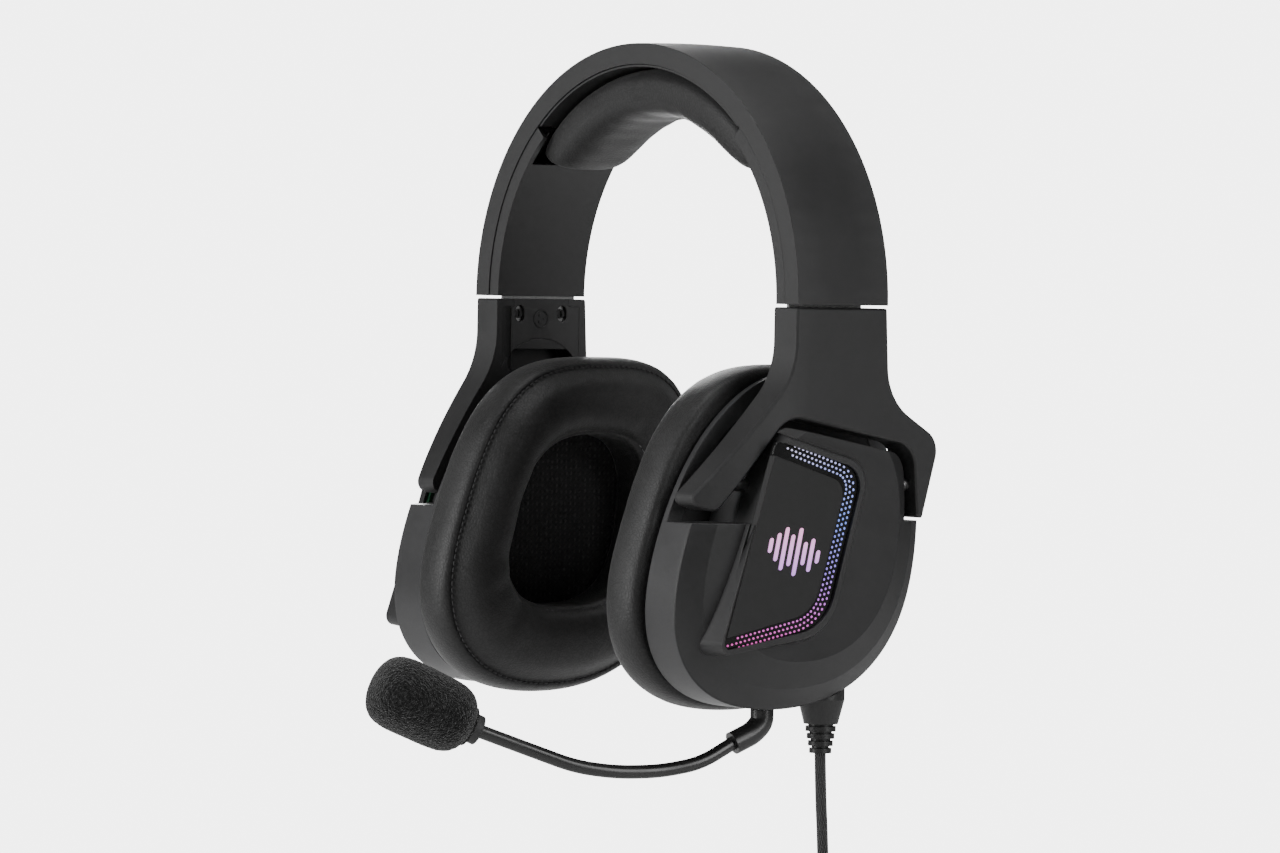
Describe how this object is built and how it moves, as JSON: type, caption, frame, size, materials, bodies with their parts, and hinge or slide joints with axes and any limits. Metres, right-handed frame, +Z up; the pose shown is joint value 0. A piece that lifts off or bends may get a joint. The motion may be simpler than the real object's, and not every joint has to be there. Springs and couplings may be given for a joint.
{
  "type": "gaming headset",
  "caption": "Over-ear wired headset with arched padded headband, sliding forked yokes, oval ear cups with light strips, and a detachable boom microphone.",
  "frame": {"origin": "middle of the head pad's underside at the crown", "axes": "+Z up, the wearer faces -Y, +X is the wearer's left, where the microphone and cord are"},
  "size_m": [0.1686, 0.1864, 0.3614],
  "materials": {
    "soft_plastic": "matte soft-touch",
    "satin_plastic": "satin",
    "gloss_plastic": "gloss",
    "light": "translucent dotted light guide",
    "leatherette": "grained leatherette over foam",
    "foam": "open-cell foam",
    "mesh": "fine mesh cloth",
    "rubber": "satin rubber",
    "braid": "braided sleeve",
    "steel": "brushed",
    "chrome": "polished",
    "board": "solder mask",
    "strap": "hook and loop"
  },
  "bodies": {
    "headband": {"headband_shell": "soft_plastic", "headband_spring": "steel", "link_cable": "rubber", "headband_pad_base": "soft_plastic", "headband_pad": "leatherette", "left_arm_liner": "soft_plastic", "right_arm_liner": "soft_plastic"},
    "left_slider": {"left_slider_tongue": "steel", "left_yoke": "soft_plastic", "left_yoke_cover": "soft_plastic", "left_yoke_screws": "steel", "left_pivot_pins": "steel"},
    "right_slider": {"right_slider_tongue": "steel", "right_yoke": "soft_plastic", "right_yoke_cover": "soft_plastic", "right_yoke_screws": "steel", "right_pivot_pins": "steel"},
    "left_cup": {"left_bezel_ring": "satin_plastic", "left_housing": "soft_plastic", "left_trim_panel": "soft_plastic", "left_led_board": "board", "left_light_guide": "light", "left_emblem_plate": "gloss_plastic", "left_baffle": "soft_plastic", "left_driver": "steel", "left_cup_screws": "steel", "left_cushion_plate": "soft_plastic", "left_ear_cushion": "leatherette", "left_ear_cloth": "mesh", "control_board": "board", "mic_socket": "gloss_plastic", "volume_pot": "gloss_plastic", "strain_relief": "rubber", "cord_lead": "braid", "cord_coil": "braid", "cord_tie": "strap", "cord_tail": "braid", "usb_plug_body": "rubber", "usb_plug_shell": "chrome"},
    "right_cup": {"right_bezel_ring": "satin_plastic", "right_housing": "soft_plastic", "right_trim_panel": "soft_plastic", "right_led_board": "board", "right_light_guide": "light", "right_emblem_plate": "gloss_plastic", "right_baffle": "soft_plastic", "right_driver": "steel", "right_cup_screws": "steel", "right_cushion_plate": "soft_plastic", "right_ear_cushion": "leatherette", "right_ear_cloth": "mesh"},
    "volume_dial": {"volume_wheel": "rubber"},
    "mute_key": {"mute_button": "rubber"},
    "mic_plug": {"mic_jack": "chrome"},
    "mic_boom": {"mic_elbow": "soft_plastic", "mic_gooseneck": "rubber", "mic_collar": "soft_plastic", "mic_capsule": "steel", "mic_windscreen": "foam"}
  },
  "joints": [
    {"name": "left_extend", "type": "slide", "parent": "headband", "child": "left_slider", "axis": [0, 0, -1], "range_m": [0, 0.02]},
    {"name": "right_extend", "type": "slide", "parent": "headband", "child": "right_slider", "axis": [0, 0, -1], "range_m": [0, 0.02]},
    {"name": "left_cup_tilt", "type": "hinge", "parent": "left_slider", "child": "left_cup", "pos_m": [0.07182, 0, -0.112], "axis": [0.0808, 0.9967, 0], "range_deg": [-7, 7]},
    {"name": "right_cup_tilt", "type": "hinge", "parent": "right_slider", "child": "right_cup", "pos_m": [-0.07182, 0, -0.112], "axis": [0.0808, -0.9967, 0], "range_deg": [-7, 7]},
    {"name": "mic_pull", "type": "slide", "parent": "left_cup", "child": "mic_plug", "axis": [0, 0, -1], "range_m": [0, 0.014]},
    {"name": "mic_swivel", "type": "hinge", "parent": "mic_plug", "child": "mic_boom", "pos_m": [0.063, -0.015, -0.181], "axis": [0, 0, 1], "range_deg": [-25, 80]},
    {"name": "volume_turn", "type": "hinge", "parent": "left_cup", "child": "volume_dial", "pos_m": [0.063, 0.02938, -0.14939], "axis": [1, 0, 0], "range_deg": [-135, 135]},
    {"name": "mute_press", "type": "slide", "parent": "left_cup", "child": "mute_key", "axis": [0, -0.6888, 0.7249], "range_m": [0, 0.0008], "stiffness_N_per_m": 900}
  ]
}
